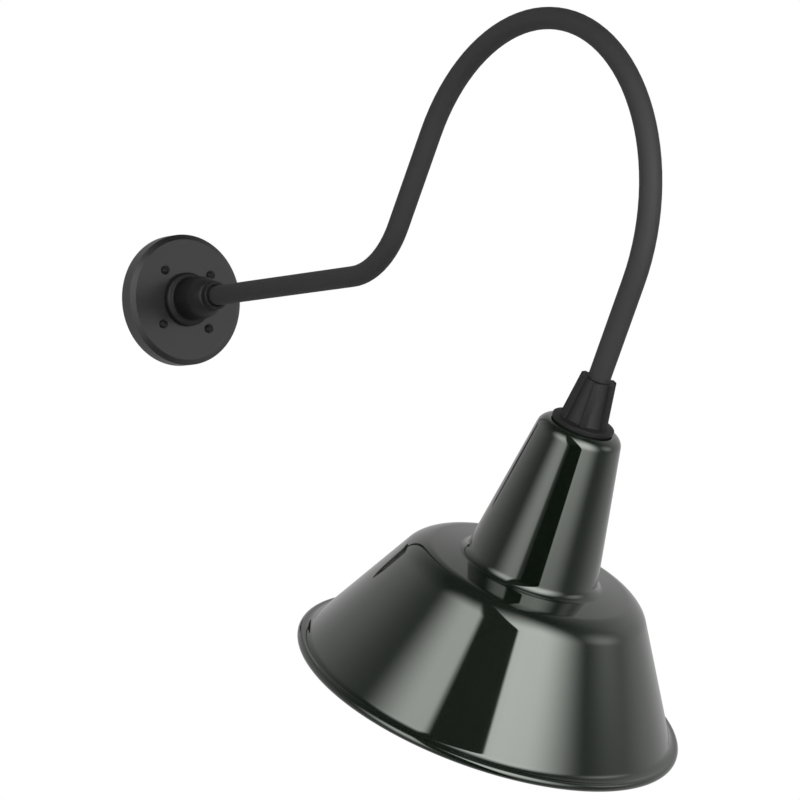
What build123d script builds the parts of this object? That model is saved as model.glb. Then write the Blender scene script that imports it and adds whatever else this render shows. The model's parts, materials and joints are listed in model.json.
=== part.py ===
from build123d import *
from math import asin, cos, pi, radians, sin, sqrt, tan
import os

# Gooseneck wall sconce. Millimetres and degrees. The origin is the centre of the plate's back, on the wall,
# with +Z up. The arm leaves the wall along -Y and stays in the plane X = 0.

# Fits
SLIP = 0.15                     # radial clearance of a piece pushed or screwed into its hole
SHANK_CLEARANCE = 0.35          # radial clearance of a screw's shank in a drilled hole
LAMP_CLEARANCE = 0.35           # radial clearance between lamp cap and screw shell
CONTACT_GAP = 0.3               # between the lamp's tip and the tongue under it

# Cast wall plate
PLATE_DIA = 133.35
PLATE_SIDE = 15.0               # straight side, from the wall to the bevel
BEVEL_WIDTH = 5.2
BEVEL_DEPTH = 3.0
PLATE_FACE = 4.0                # thickness of the front
PLATE_RIM = 6.0                 # thickness of the side
GASKET_WIDTH = 3.5
GASKET_DEPTH = 1.5

# Four screws to the wall
SCREW_SPACING = 54.85
SCREW_THREAD_RADIUS = 2.4       # over the threads, behind the wall plane
SCREW_SHANK_RADIUS = 2.15       # inside the plate, as thick as the wire before its thread was rolled
SCREW_HEAD_RADIUS = 4.4
SCREW_HEAD_HEIGHT = 3.6
SCREW_TAIL = 22.0               # length behind the wall plane
SCREW_CHAMFER = 0.6             # at the end of every slotted screw
SCREW_BOSS_RADIUS = 7.5
RECESS_RADIUS = 5.3
RECESS_DEPTH = 0.9
SLOT_WIDTH = 1.2
SLOT_DEPTH = 1.7

# Turned hub on the plate
HUB_LENGTH = 55.0               # from the plate's front to the mouth
BEAD_RADIUS = 27.3
BEAD_HEIGHT = 6.6
BEAD_ROUND = 3.2
BEAD_UNDERCUT = 1.0
COVE_RADIUS = 2.4
BOSS_RADIUS = 21.4
BOSS_STRAIGHT = 27.0            # from the plate's front to the start of the dome
DOME_RADIUS = 32.2
DOME_TURN = 36.1
GROOVE_RADIUS = 13.0
GROOVE_WIDTH = 2.0
MOUTH_RADIUS = 14.1
MOUTH_RING = 6.0
MOUTH_ROUND = 0.9
MOUTH_FLARE = 1.1
MOUTH_FLARE_DEPTH = 2.5
SPIGOT_RADIUS = 13.5
SPIGOT_END = 5.0                # distance of the spigot's end from the wall

# Behind the plate
HUB_WASHER_RADIUS = 20.0
HUB_WASHER_THICKNESS = 1.2
HUB_WASHER_TEETH = 12
TOOTH_GAP = 2.4
TOOTH_DEPTH = 2.6
HUB_NUT_FLATS = 36.0
HUB_NUT_HEIGHT = 6.0
GROUND_SCREW_HEIGHT = 38.0      # above the arm's axis
GROUND_BOSS_RADIUS = 6.0
GROUND_BOSS_DEPTH = 2.0
GROUND_SHANK_RADIUS = 2.0
GROUND_SHANK = 5.0
GROUND_HEAD_FLATS = 8.0
GROUND_HEAD_HEIGHT = 3.2
GROUND_WASHER_RADIUS = 5.0
GROUND_WASHER_THICKNESS = 1.0

# Grub screws with a hexagon socket
GRUB_RADIUS = 2.5
GRUB_SOCKET_FLATS = 2.5
GRUB_SOCKET_DEPTH = 2.4
GRUB_BEDDING = 0.05             # from the screw's flat end to the tube
HUB_GRUB_HEIGHT = 17.0          # above the plate's front
HUB_GRUB_LENGTH = 8.5

# Bent arm
ARM_DIA = 20.0
ARM_WALL = 1.5
ARM_START = 7.5                 # distance of the tube's lower end from the wall
ARM_RUN = 307.5                 # from the wall to the first bend
ARM_BEND_RADIUS = 81.0
ARM_BEND = 60.4
ARM_RISER = 96.0
HOOK_RADIUS = 168.8
HOOK_BEND = 178.6
ARM_DROP = 88.6                 # from the hook to the top of the collar
BUSH_FLANGE = 1.5
BUSH_SLEEVE = 8.0
BUSH_BORE_RADIUS = 5.0

# Fluted collar
COLLAR_SOCKET = 30.0            # depth of the tube in the collar
COLLAR_HEIGHT = 41.5            # fluted part
COLLAR_TOP_RADIUS = 13.9        # of the core between the ribs
COLLAR_FOOT_RADIUS = 21.4
COLLAR_EDGE = 0.8
RIB_COUNT = 6
RIB_WIDTH = 5.4
RIB_DEPTH = 3.0
RIB_ROUND = 0.7                 # of a rib's long edges
COLLAR_TURN = 9.4               # angle of the first rib from +X
FLANGE_RADIUS = 26.2
FLANGE_SLOPE = 2.0
FLANGE_EDGE = 2.8
COLLAR_GRUB_STATION = 14.0
COLLAR_GRUB_LENGTH = 6.0
COLLAR_GASKET_RADIUS = 24.6
COLLAR_GASKET_THICKNESS = 1.4

# Spun shade, outside sizes
SHADE_DIA = 355.6
SHADE_SHEET = 1.2
CROWN_ROUND = 10.0
NECK_TOP_RADIUS = 36.9
NECK_FOOT_RADIUS = 60.5
NECK_LENGTH = 138.3
NECK_FILLET = 8.0
TOP_SLOPE = 5.7
SHOULDER_ROUND = 29.0
CONE_ANGLE = 29.6               # of the skirt, from the shade's axis
RIM_STATION = 259.5             # from the crown to the middle of the rolled rim
RIM_RADIUS = 3.7
RIM_CURL = 290.0

# Threaded rod, nuts and lampholder bracket
NIPPLE_RADIUS = 6.7
NIPPLE_BORE_RADIUS = 4.9
NIPPLE_IN_WEB = 13.0
NIPPLE_LENGTH = 41.0
SHADE_WASHER_RADIUS = 22.0
SHADE_WASHER_THICKNESS = 1.5
NUT_FLATS = 22.0
SHADE_NUT_HEIGHT = 5.0
BRACKET_NUT_HEIGHT = 4.0
BRACKET_DROP = 10.0             # from the shade nut to the bracket's upper face
BRACKET_SHEET = 1.6
BRACKET_WIDTH = 20.0
BRACKET_SPAN = 34.0
BRACKET_LEG = 18.0              # from the bracket's upper face to the porcelain
BRACKET_FOOT = 7.0              # flat length of a foot
BRACKET_ROUND = 1.0
SMALL_SHANK_RADIUS = 1.5
SMALL_SHANK = 8.0
SMALL_HEAD_RADIUS = 3.0
SMALL_HEAD_HEIGHT = 2.4
SMALL_SLOT = 0.8
SMALL_SLOT_DEPTH = 1.0

# Lampholder
HOLDER_LENGTH = 44.0
HOLDER_RADIUS = 21.0
HOLDER_HEAD = 12.0              # length of the wide end
HOLDER_SKIRT_RADIUS = 18.5
HOLDER_STEP = 3.0
HOLDER_FLOOR = 13.0             # thickness of the porcelain under the cavity
HOLDER_EDGE = 1.2               # radius of the glazed edges
SHELL_SHEET = 0.5
SHELL_LENGTH = 29.0
SHELL_FLOOR_HOLE = 5.2
TONGUE_LENGTH = 7.0
TONGUE_WIDTH = 5.0
TONGUE_SHEET = 0.6
TONGUE_RISE = 3.7
TERMINAL_LENGTH = 8.0
TERMINAL_WIDTH = 9.0
TERMINAL_SHEET = 1.0
TERMINAL_OFFSET = 10.6          # from the axis to the plate's near edge

# Wires
WIRE_RADIUS = 1.3
WIRE_SPREAD = 2.9               # between the two wires' centres
WIRE_TURN = 7.0
WIRE_REST = 0.1                 # above the porcelain
WIRE_END_GAP = 0.2
WIRE_START = 3.0                # distance of the cut ends from the wall

# Lamp
CAP_RADIUS = 13.0
CAP_SHEET = 0.4
CAP_LENGTH = 22.0
CAP_BEVEL = 1.0
INSULATOR_LENGTH = 3.0
INSULATOR_TIP_RADIUS = 4.6
LAMP_CONTACT_RADIUS = 4.0
LAMP_CONTACT_LENGTH = 1.4
BULB_RADIUS = 33.5
BULB_LENGTH = 102.0             # glass beyond the cap
BULB_NECK_RADIUS = 14.6
BULB_NECK = 8.0
BULB_IN_CAP = 8.0
BULB_GLASS = 0.8
BULB_STEM_HOLE = 6.5

# Sizes that follow from those above
PLATE_RADIUS = PLATE_DIA / 2
PLATE_DEPTH = PLATE_SIDE + BEVEL_DEPTH
CAVITY_DEPTH = PLATE_DEPTH - PLATE_FACE
ARM_RADIUS = ARM_DIA / 2
ARM_BORE = ARM_RADIUS - ARM_WALL
SOCKET_RADIUS = ARM_RADIUS + SLIP
HUB_MOUTH = PLATE_DEPTH + HUB_LENGTH

WEB_TOP = COLLAR_SOCKET + BUSH_FLANGE
FLANGE_TOP = COLLAR_HEIGHT + FLANGE_SLOPE
COLLAR_LENGTH = FLANGE_TOP + FLANGE_EDGE
CROWN = COLLAR_LENGTH + COLLAR_GASKET_THICKNESS
NIPPLE_HOLE = NIPPLE_RADIUS + SLIP
NIPPLE_TOP = COLLAR_LENGTH - NIPPLE_IN_WEB
NIPPLE_END = NIPPLE_TOP + NIPPLE_LENGTH
SHADE_WASHER_TOP = CROWN + SHADE_SHEET
SHADE_NUT_TOP = SHADE_WASHER_TOP + SHADE_WASHER_THICKNESS
BRACKET_TOP = SHADE_NUT_TOP + SHADE_NUT_HEIGHT + BRACKET_DROP
BRACKET_SCREW_OFFSET = BRACKET_SPAN / 2 - BRACKET_SHEET - BRACKET_ROUND - BRACKET_FOOT / 2
HOLDER_TOP = BRACKET_TOP + BRACKET_LEG
HOLDER_MOUTH = HOLDER_TOP + HOLDER_LENGTH
HOLDER_CAVITY = HOLDER_TOP + HOLDER_FLOOR
SHELL_RADIUS = CAP_RADIUS + LAMP_CLEARANCE
SHELL_OUTSIDE = SHELL_RADIUS + SHELL_SHEET
TONGUE_TOP = HOLDER_CAVITY + TONGUE_SHEET + TONGUE_RISE
LAMP_TIP = TONGUE_TOP + CONTACT_GAP
INSULATOR_TOP = LAMP_TIP + LAMP_CONTACT_LENGTH
CAP_TOP = INSULATOR_TOP + INSULATOR_LENGTH
CAP_END = CAP_TOP + CAP_LENGTH


def arm_route(start, below_collar):
    """Centre line of the arm in its own plane: x runs out from the wall and y runs up."""
    run = Line((start, 0), (ARM_RUN, 0))
    bend = JernArc(run @ 1, run % 1, ARM_BEND_RADIUS, ARM_BEND)
    riser = Line(bend @ 1, bend @ 1 + (bend % 1) * ARM_RISER)
    hook = JernArc(riser @ 1, riser % 1, HOOK_RADIUS, -HOOK_BEND)
    drop = Line(hook @ 1, hook @ 1 + (hook % 1) * (ARM_DROP + below_collar))
    return [run, bend, riser, hook, drop]


def side_plane(x):
    """Plane of the arm, moved sideways by x."""
    return Plane(origin=(x, 0, 0), x_dir=(0, -1, 0), z_dir=(-1, 0, 0))


# Frame of the wall plate: Z leaves the wall along the arm's first run.
WALL = Plane(origin=(0, 0, 0), x_dir=(1, 0, 0), z_dir=(0, -1, 0))

# Frame of the head: the origin is in the collar's top, and Z runs along the shade's axis to its opening.
collar_route = side_plane(0) * Wire(arm_route(ARM_START, 0))
HEAD = Plane(origin=collar_route @ 1, x_dir=(1, 0, 0), z_dir=collar_route % 1)


def turned(*outline):
    """Solid of revolution about Z from lines in radius and height, closed by a straight line."""
    closing = Line(outline[-1] @ 1, outline[0] @ 0)
    edges = [edge for line in (*outline, closing) for edge in line.edges()]
    return revolve(Plane.XZ * make_face(edges), Axis.Z)


def rod(radius, low, high):
    """Cylinder on Z between two heights."""
    return Pos(0, 0, low) * extrude(Circle(radius), high - low)


def ring(outer, inner, low, high):
    """Flat ring on Z between two heights."""
    return rod(outer, low, high) - rod(inner, low, high)


def hexagon(flats, low, high):
    """Hexagonal bar on Z, with its size across flats."""
    return Pos(0, 0, low) * extrude(RegularPolygon(flats / 2, 6, major_radius=False), high - low)


def hex_nut(flats, hole, low, high):
    """Nut with its corners turned off at both faces."""
    corner = flats / sqrt(3)
    cut = corner - flats / 2
    blank = turned(Polyline((0, low), (flats / 2, low), (corner, low + cut / 2), (corner, high - cut / 2),
                            (flats / 2, high), (0, high)))
    return (hexagon(flats, low, high) & blank) - rod(hole, low, high)


def slotted_screw(shank, length, head, height, slot, slot_depth, plain=()):
    """Round-head screw: the head's seat is at height 0, the head rises along +Z and the slot lies along X.
    The plain shank under the head, if any, is given as points in radius and height."""
    crown = (head**2 + height**2) / (2 * height)
    dome = JernArc((0, height), (1, 0), crown, -asin(head / crown) * 180 / pi)
    body = turned(dome, Polyline((head, 0), *(plain or [(shank, 0)]), (shank, SCREW_CHAMFER - length),
                                 (shank - SCREW_CHAMFER, -length), (0, -length)))
    return body - Pos(0, 0, height - slot_depth / 2) * Box(3 * head, slot, slot_depth)


def grub_screw(length):
    """Socket screw from height 0 to its length, with the socket in the far end."""
    return rod(GRUB_RADIUS, 0, length) - hexagon(GRUB_SOCKET_FLATS, length - GRUB_SOCKET_DEPTH, length)


def bush(seat, inward):
    """Wire bush on Z: a flange outside the seat and a sleeve on the inward side (+1 or -1)."""
    flange_end = seat - inward * BUSH_FLANGE
    sleeve_end = seat + inward * BUSH_SLEEVE
    flange = rod(ARM_RADIUS, min(seat, flange_end), max(seat, flange_end))
    sleeve = rod(ARM_BORE - SLIP, min(seat, sleeve_end), max(seat, sleeve_end))
    low, high = min(flange_end, sleeve_end), max(flange_end, sleeve_end)
    return flange + sleeve - rod(BUSH_BORE_RADIUS, low, high)


def screw_places():
    half = SCREW_SPACING / 2
    return [Pos(x, z, 0) for x in (-half, half) for z in (-half, half)]


def wall_plate():
    """Cast disc with a hollow back, four screw bosses and a boss for the earth screw."""
    inside = PLATE_RADIUS - PLATE_RIM
    disc = turned(Polyline((0, CAVITY_DEPTH), (inside, CAVITY_DEPTH), (inside, 0), (PLATE_RADIUS, 0),
                           (PLATE_RADIUS, PLATE_SIDE), (PLATE_RADIUS - BEVEL_WIDTH, PLATE_DEPTH),
                           (0, PLATE_DEPTH)))
    disc -= ring(inside + GASKET_WIDTH, inside, 0, GASKET_DEPTH)
    for place in screw_places():
        disc += place * rod(SCREW_BOSS_RADIUS, 0, CAVITY_DEPTH)
    ground = Pos(0, GROUND_SCREW_HEIGHT, 0)
    disc += ground * rod(GROUND_BOSS_RADIUS, CAVITY_DEPTH - GROUND_BOSS_DEPTH, CAVITY_DEPTH)
    for place in screw_places():
        disc -= place * rod(SCREW_THREAD_RADIUS + SHANK_CLEARANCE, 0, PLATE_DEPTH)
        disc -= place * rod(RECESS_RADIUS, PLATE_DEPTH - RECESS_DEPTH, PLATE_DEPTH)
    screw_end = CAVITY_DEPTH - GROUND_BOSS_DEPTH + GROUND_SHANK
    disc -= ground * rod(GROUND_SHANK_RADIUS + SLIP, CAVITY_DEPTH - GROUND_BOSS_DEPTH, screw_end)
    return disc - rod(SPIGOT_RADIUS + SLIP, CAVITY_DEPTH, PLATE_DEPTH)


def wall_gasket():
    inside = PLATE_RADIUS - PLATE_RIM
    return ring(inside + GASKET_WIDTH - SLIP, inside, 0, GASKET_DEPTH)


def plate_screws():
    seat = PLATE_DEPTH - RECESS_DEPTH
    plain = [(SCREW_SHANK_RADIUS, 0), (SCREW_SHANK_RADIUS, -seat), (SCREW_THREAD_RADIUS, -seat)]
    screw = slotted_screw(SCREW_THREAD_RADIUS, seat + SCREW_TAIL, SCREW_HEAD_RADIUS, SCREW_HEAD_HEIGHT,
                          SLOT_WIDTH, SLOT_DEPTH, plain)
    return [place * Pos(0, 0, seat) * screw for place in screw_places()]


def grub_in_hub(solid):
    """Places a solid that starts at height 0 on the arm's side in the hub, pointing to +X."""
    seat = ARM_RADIUS + GRUB_BEDDING
    return Pos(0, 0, PLATE_DEPTH + HUB_GRUB_HEIGHT) * Rot(0, 90, 0) * Pos(0, 0, seat) * solid


def arm_hub():
    """Boss with a bead at its foot, a dome, a ring at its mouth and a spigot through the plate."""
    face = PLATE_DEPTH
    foot = FilletPolyline((SPIGOT_RADIUS, face), (BEAD_RADIUS, face), (BEAD_RADIUS, face + BEAD_HEIGHT),
                          (BOSS_RADIUS, face + BEAD_HEIGHT), (BOSS_RADIUS, face + BOSS_STRAIGHT),
                          radius=[BEAD_UNDERCUT, BEAD_ROUND, COVE_RADIUS])
    dome = JernArc(foot @ 1, (0, 1), DOME_RADIUS, DOME_TURN)
    ring_foot = HUB_MOUTH - MOUTH_RING
    mouth = FilletPolyline(dome @ 1, (GROOVE_RADIUS, ring_foot - GROOVE_WIDTH), (GROOVE_RADIUS, ring_foot),
                           (MOUTH_RADIUS, ring_foot), (MOUTH_RADIUS, HUB_MOUTH),
                           (SOCKET_RADIUS + MOUTH_FLARE, HUB_MOUTH),
                           (SOCKET_RADIUS, HUB_MOUTH - MOUTH_FLARE_DEPTH), (SOCKET_RADIUS, SPIGOT_END),
                           (SPIGOT_RADIUS, SPIGOT_END), radius=[0, 0, MOUTH_ROUND, MOUTH_ROUND, 0, 0, 0])
    return turned(foot, dome, mouth) - grub_in_hub(rod(GRUB_RADIUS + SLIP, 0, BEAD_RADIUS))


def hub_washer():
    """Lock washer with teeth round its outside."""
    low = CAVITY_DEPTH - HUB_WASHER_THICKNESS
    washer = ring(HUB_WASHER_RADIUS, SPIGOT_RADIUS + SLIP, low, CAVITY_DEPTH)
    notch = Box(2 * TOOTH_DEPTH, TOOTH_GAP, 4 * HUB_WASHER_THICKNESS)
    notch = Pos(HUB_WASHER_RADIUS, 0, CAVITY_DEPTH) * notch
    return washer - [Rot(0, 0, 360 / HUB_WASHER_TEETH * i) * notch for i in range(HUB_WASHER_TEETH)]


def hub_locknut():
    high = CAVITY_DEPTH - HUB_WASHER_THICKNESS
    return hex_nut(HUB_NUT_FLATS, SPIGOT_RADIUS + SLIP, high - HUB_NUT_HEIGHT, high)


def ground_washer():
    high = CAVITY_DEPTH - GROUND_BOSS_DEPTH
    washer = ring(GROUND_WASHER_RADIUS, GROUND_SHANK_RADIUS + SLIP, high - GROUND_WASHER_THICKNESS, high)
    return Pos(0, GROUND_SCREW_HEIGHT, 0) * washer


def ground_screw():
    seat = CAVITY_DEPTH - GROUND_BOSS_DEPTH - GROUND_WASHER_THICKNESS
    head = hexagon(GROUND_HEAD_FLATS, seat - GROUND_HEAD_HEIGHT, seat)
    shank = rod(GROUND_SHANK_RADIUS, seat, seat + GROUND_SHANK)
    slot = Pos(0, 0, seat - GROUND_HEAD_HEIGHT) * Box(2 * GROUND_HEAD_FLATS, SLOT_WIDTH, 2 * SMALL_SLOT_DEPTH)
    return Pos(0, GROUND_SCREW_HEIGHT, 0) * (head + shank - slot)


def arm_tube():
    route = side_plane(0) * Wire(arm_route(ARM_START, COLLAR_SOCKET))
    section = Plane(origin=route @ 0, z_dir=route % 0) * (Circle(ARM_RADIUS) - Circle(ARM_BORE))
    return sweep(section, route)


def collar_rib_angles():
    return [COLLAR_TURN + 360 / RIB_COUNT * i for i in range(RIB_COUNT)]


def grub_in_collar(solid):
    """Places a solid that starts at height 0 on the tube in the collar, in the middle of a flute."""
    turn = COLLAR_TURN - 180 / RIB_COUNT
    return (Rot(0, 0, turn) * Pos(0, 0, COLLAR_GRUB_STATION) * Rot(0, 90, 0)
            * Pos(0, 0, ARM_RADIUS + GRUB_BEDDING) * solid)


def shade_collar():
    """Tapered collar: six narrow ribs stand out of a round core, over a flange with a sloping top."""
    core = turned(Polyline((0, 0), (COLLAR_TOP_RADIUS - COLLAR_EDGE, 0), (COLLAR_TOP_RADIUS, COLLAR_EDGE),
                           (COLLAR_FOOT_RADIUS, COLLAR_HEIGHT), (FLANGE_RADIUS, FLANGE_TOP),
                           (FLANGE_RADIUS, COLLAR_LENGTH), (0, COLLAR_LENGTH)))
    rib_cone = turned(Polyline((0, 0), (COLLAR_TOP_RADIUS + RIB_DEPTH - COLLAR_EDGE, 0),
                               (COLLAR_TOP_RADIUS + RIB_DEPTH, COLLAR_EDGE),
                               (COLLAR_FOOT_RADIUS + RIB_DEPTH, COLLAR_HEIGHT),
                               (COLLAR_FOOT_RADIUS + RIB_DEPTH, FLANGE_TOP), (0, FLANGE_TOP)))
    reach = FLANGE_RADIUS
    bar = Pos(reach / 2, 0, FLANGE_TOP / 2) * Box(reach, RIB_WIDTH, FLANGE_TOP)
    rib = rib_cone & bar
    long_edges = [edge for edge in rib.edges() if edge.center().X > COLLAR_TOP_RADIUS + RIB_DEPTH
                  and edge.length > COLLAR_HEIGHT / 2]
    rib = fillet(long_edges, RIB_ROUND)
    for angle in collar_rib_angles():
        core += Rot(0, 0, angle) * rib
    core -= rod(SOCKET_RADIUS, 0, WEB_TOP)
    core -= rod(NIPPLE_HOLE, WEB_TOP, COLLAR_LENGTH)
    return core - grub_in_collar(rod(GRUB_RADIUS + SLIP, 0, FLANGE_RADIUS))


def collar_gasket():
    return ring(COLLAR_GASKET_RADIUS, NIPPLE_HOLE, COLLAR_LENGTH, CROWN)


def shade():
    """One spun sheet, drawn along its middle: crown, neck, shoulder, skirt and rolled rim."""
    half = SHADE_SHEET / 2
    neck_slope = (NECK_FOOT_RADIUS - NECK_TOP_RADIUS) / NECK_LENGTH
    neck_inset = half * sqrt(1 + neck_slope**2)
    top_slope = tan(radians(TOP_SLOPE))
    skirt_slope = tan(radians(CONE_ANGLE))
    crown = CROWN + half

    # The neck's line is r = neck_start + neck_slope * z, and the top's is z = top_start + top_slope * r.
    neck_start = NECK_TOP_RADIUS - neck_inset - neck_slope * CROWN
    top_start = CROWN + NECK_LENGTH - top_slope * NECK_FOOT_RADIUS + half / cos(radians(TOP_SLOPE))
    foot_radius = (neck_start + neck_slope * top_start) / (1 - neck_slope * top_slope)
    foot = (foot_radius, top_start + top_slope * foot_radius)

    # The skirt's line touches the curl of the rim.
    curl = RIM_RADIUS - half
    rim = (SHADE_DIA / 2 - RIM_RADIUS, CROWN + RIM_STATION)
    skirt_end = (rim[0] - curl * cos(radians(CONE_ANGLE)), rim[1] + curl * sin(radians(CONE_ANGLE)))
    skirt_start = skirt_end[0] - skirt_slope * skirt_end[1]
    shoulder_radius = (skirt_start + skirt_slope * top_start) / (1 - skirt_slope * top_slope)
    shoulder = (shoulder_radius, top_start + top_slope * shoulder_radius)

    side = FilletPolyline((NIPPLE_HOLE, crown), (neck_start + neck_slope * crown, crown), foot, shoulder,
                          skirt_end, radius=[CROWN_ROUND - half, NECK_FILLET + half, SHOULDER_ROUND - half])
    rolled = JernArc(side @ 1, side % 1, curl, -RIM_CURL)
    sheet = trace(Wire([*side.edges(), rolled.edge()]), SHADE_SHEET)
    return revolve(Plane.XZ * sheet, Axis.Z)


def socket_nipple():
    return ring(NIPPLE_RADIUS, NIPPLE_BORE_RADIUS, NIPPLE_TOP, NIPPLE_END)


def shade_washer():
    return ring(SHADE_WASHER_RADIUS, NIPPLE_HOLE, SHADE_WASHER_TOP, SHADE_NUT_TOP)


def shade_nut():
    return hex_nut(NUT_FLATS, NIPPLE_HOLE, SHADE_NUT_TOP, SHADE_NUT_TOP + SHADE_NUT_HEIGHT)


def bracket_nuts():
    below = BRACKET_TOP + BRACKET_SHEET
    return [hex_nut(NUT_FLATS, NIPPLE_HOLE, BRACKET_TOP - BRACKET_NUT_HEIGHT, BRACKET_TOP),
            hex_nut(NUT_FLATS, NIPPLE_HOLE, below, below + BRACKET_NUT_HEIGHT)]


def lampholder_bracket():
    """Bent strap: a web on the nipple, two legs and two feet on the porcelain."""
    half = BRACKET_SHEET / 2
    leg = BRACKET_SPAN / 2 - half
    toe = BRACKET_SCREW_OFFSET - BRACKET_FOOT / 2
    web, foot = BRACKET_TOP + half, HOLDER_TOP - half
    line = FilletPolyline((-toe, foot), (-leg, foot), (-leg, web), (leg, web), (leg, foot), (toe, foot),
                          radius=BRACKET_ROUND + half)
    strap = extrude(Plane.XZ * trace(line, BRACKET_SHEET), BRACKET_WIDTH / 2, both=True)
    strap -= rod(NIPPLE_HOLE, BRACKET_TOP, BRACKET_TOP + BRACKET_SHEET)
    for x in (-BRACKET_SCREW_OFFSET, BRACKET_SCREW_OFFSET):
        strap -= Pos(x, 0, 0) * rod(SMALL_SHANK_RADIUS + SLIP, HOLDER_TOP - BRACKET_SHEET, HOLDER_TOP)
    return strap


def small_screw(x, y, seat):
    """Small screw with its head towards the collar."""
    screw = slotted_screw(SMALL_SHANK_RADIUS, SMALL_SHANK + HOLDER_TOP - seat, SMALL_HEAD_RADIUS,
                          SMALL_HEAD_HEIGHT, SMALL_SLOT, SMALL_SLOT_DEPTH)
    return Pos(x, y, seat) * Rot(180, 0, 0) * screw


def bracket_screws():
    seat = HOLDER_TOP - BRACKET_SHEET
    return [small_screw(x, 0, seat) for x in (-BRACKET_SCREW_OFFSET, BRACKET_SCREW_OFFSET)]


def terminal_screw_offset():
    return TERMINAL_OFFSET + TERMINAL_LENGTH / 2


def terminal_plates():
    seat = HOLDER_TOP - TERMINAL_SHEET
    plates = []
    for side in (-1, 1):
        place = Pos(side * WIRE_SPREAD / 2, side * terminal_screw_offset(), 0)
        plate = Pos(0, 0, seat + TERMINAL_SHEET / 2) * Box(TERMINAL_WIDTH, TERMINAL_LENGTH, TERMINAL_SHEET)
        plates.append(place * (plate - rod(SMALL_SHANK_RADIUS + SLIP, seat, HOLDER_TOP)))
    return plates


def terminal_screws():
    seat = HOLDER_TOP - TERMINAL_SHEET
    return [small_screw(side * WIRE_SPREAD / 2, side * terminal_screw_offset(), seat) for side in (-1, 1)]


def lampholder_body():
    """Porcelain cup with a wide head and a narrower skirt."""
    step = HOLDER_TOP + HOLDER_HEAD
    cavity = SHELL_OUTSIDE + SLIP
    cup = turned(FilletPolyline((0, HOLDER_TOP), (HOLDER_RADIUS, HOLDER_TOP), (HOLDER_RADIUS, step),
                                (HOLDER_SKIRT_RADIUS, step + HOLDER_STEP),
                                (HOLDER_SKIRT_RADIUS, HOLDER_MOUTH), (cavity, HOLDER_MOUTH),
                                (cavity, HOLDER_CAVITY), (0, HOLDER_CAVITY), radius=[HOLDER_EDGE] * 5 + [0]))
    hole = rod(SMALL_SHANK_RADIUS + SLIP, HOLDER_TOP, HOLDER_TOP + SMALL_SHANK)
    for x in (-BRACKET_SCREW_OFFSET, BRACKET_SCREW_OFFSET):
        cup -= Pos(x, 0, 0) * hole
    for side in (-1, 1):
        cup -= Pos(side * WIRE_SPREAD / 2, side * terminal_screw_offset(), 0) * hole
    return cup


def screw_shell():
    floor = HOLDER_CAVITY + SHELL_SHEET
    wall = ring(SHELL_OUTSIDE, SHELL_RADIUS, HOLDER_CAVITY, HOLDER_CAVITY + SHELL_LENGTH)
    return wall + ring(SHELL_RADIUS, SHELL_FLOOR_HOLE, HOLDER_CAVITY, floor)


def centre_contact():
    """Brass tongue, bent back over its own foot."""
    foot = HOLDER_CAVITY + TONGUE_SHEET / 2
    half = TONGUE_LENGTH / 2
    line = FilletPolyline((-half, foot), (half, foot), (-half / 2, foot + TONGUE_RISE),
                          radius=TONGUE_SHEET + SLIP)
    tongue = extrude(Plane.XZ * trace(line, TONGUE_SHEET), TONGUE_WIDTH / 2, both=True)
    return tongue & rod(SHELL_FLOOR_HOLE - SLIP, HOLDER_CAVITY, TONGUE_TOP)


def wire(side):
    """Insulated wire through the arm, the bushes and the nipple to its terminal. Side is -1 or 1."""
    height = HOLDER_TOP - WIRE_REST - WIRE_RADIUS
    *arm, drop = arm_route(WIRE_START, height - WIRE_TURN)
    turn = JernArc(drop @ 1, drop % 1, WIRE_TURN, 90 * side)
    tail = Line(turn @ 1, turn @ 1 + (turn % 1) * (TERMINAL_OFFSET - WIRE_END_GAP - WIRE_TURN))
    route = side_plane(side * WIRE_SPREAD / 2) * Wire([*arm, drop, turn, tail])
    return sweep(Plane(origin=route @ 0, z_dir=route % 0) * Circle(WIRE_RADIUS), route)


def bulb_solid(inset):
    """The bulb's outline as a solid, drawn in by the inset."""
    centre = CAP_END + BULB_LENGTH - BULB_RADIUS
    neck, ball = BULB_NECK_RADIUS - inset, BULB_RADIUS - inset
    stem = CAP_RADIUS - CAP_SHEET - SLIP - inset
    run = centre - CAP_END - BULB_NECK
    # The flank leaves the neck and touches the ball.
    span = sqrt(run**2 + neck**2)
    lean = asin(ball / span) - asin(neck / span)
    touch = (ball * cos(lean), centre - ball * sin(lean))
    lower = FilletPolyline((0, CAP_END - BULB_IN_CAP), (stem, CAP_END - BULB_IN_CAP), (stem, CAP_END),
                           (neck, CAP_END + inset), (neck, CAP_END + BULB_NECK), touch,
                           radius=[0, 0, 0, BULB_RADIUS])
    ball_arc = CenterArc((0, centre), ball, -lean * 180 / pi, 90 + lean * 180 / pi)
    return turned(lower, ball_arc)


def lamp_bulb():
    return bulb_solid(0) - bulb_solid(BULB_GLASS) - rod(BULB_STEM_HOLE, CAP_TOP, CAP_END)


def lamp_cap():
    inside = CAP_RADIUS - CAP_SHEET
    floor, bevel = inside - CAP_BEVEL, CAP_TOP + CAP_BEVEL
    return turned(Polyline((INSULATOR_TIP_RADIUS, CAP_TOP - CAP_SHEET), (floor, CAP_TOP - CAP_SHEET),
                           (CAP_RADIUS, bevel), (CAP_RADIUS, CAP_END), (inside, CAP_END), (inside, bevel),
                           (floor, CAP_TOP), (INSULATOR_TIP_RADIUS, CAP_TOP)))


def lamp_insulator():
    base = CAP_RADIUS - CAP_SHEET - CAP_BEVEL
    high = CAP_TOP - CAP_SHEET
    return turned(Polyline((0, INSULATOR_TOP), (INSULATOR_TIP_RADIUS, INSULATOR_TOP), (base, high),
                           (0, high)))


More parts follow.
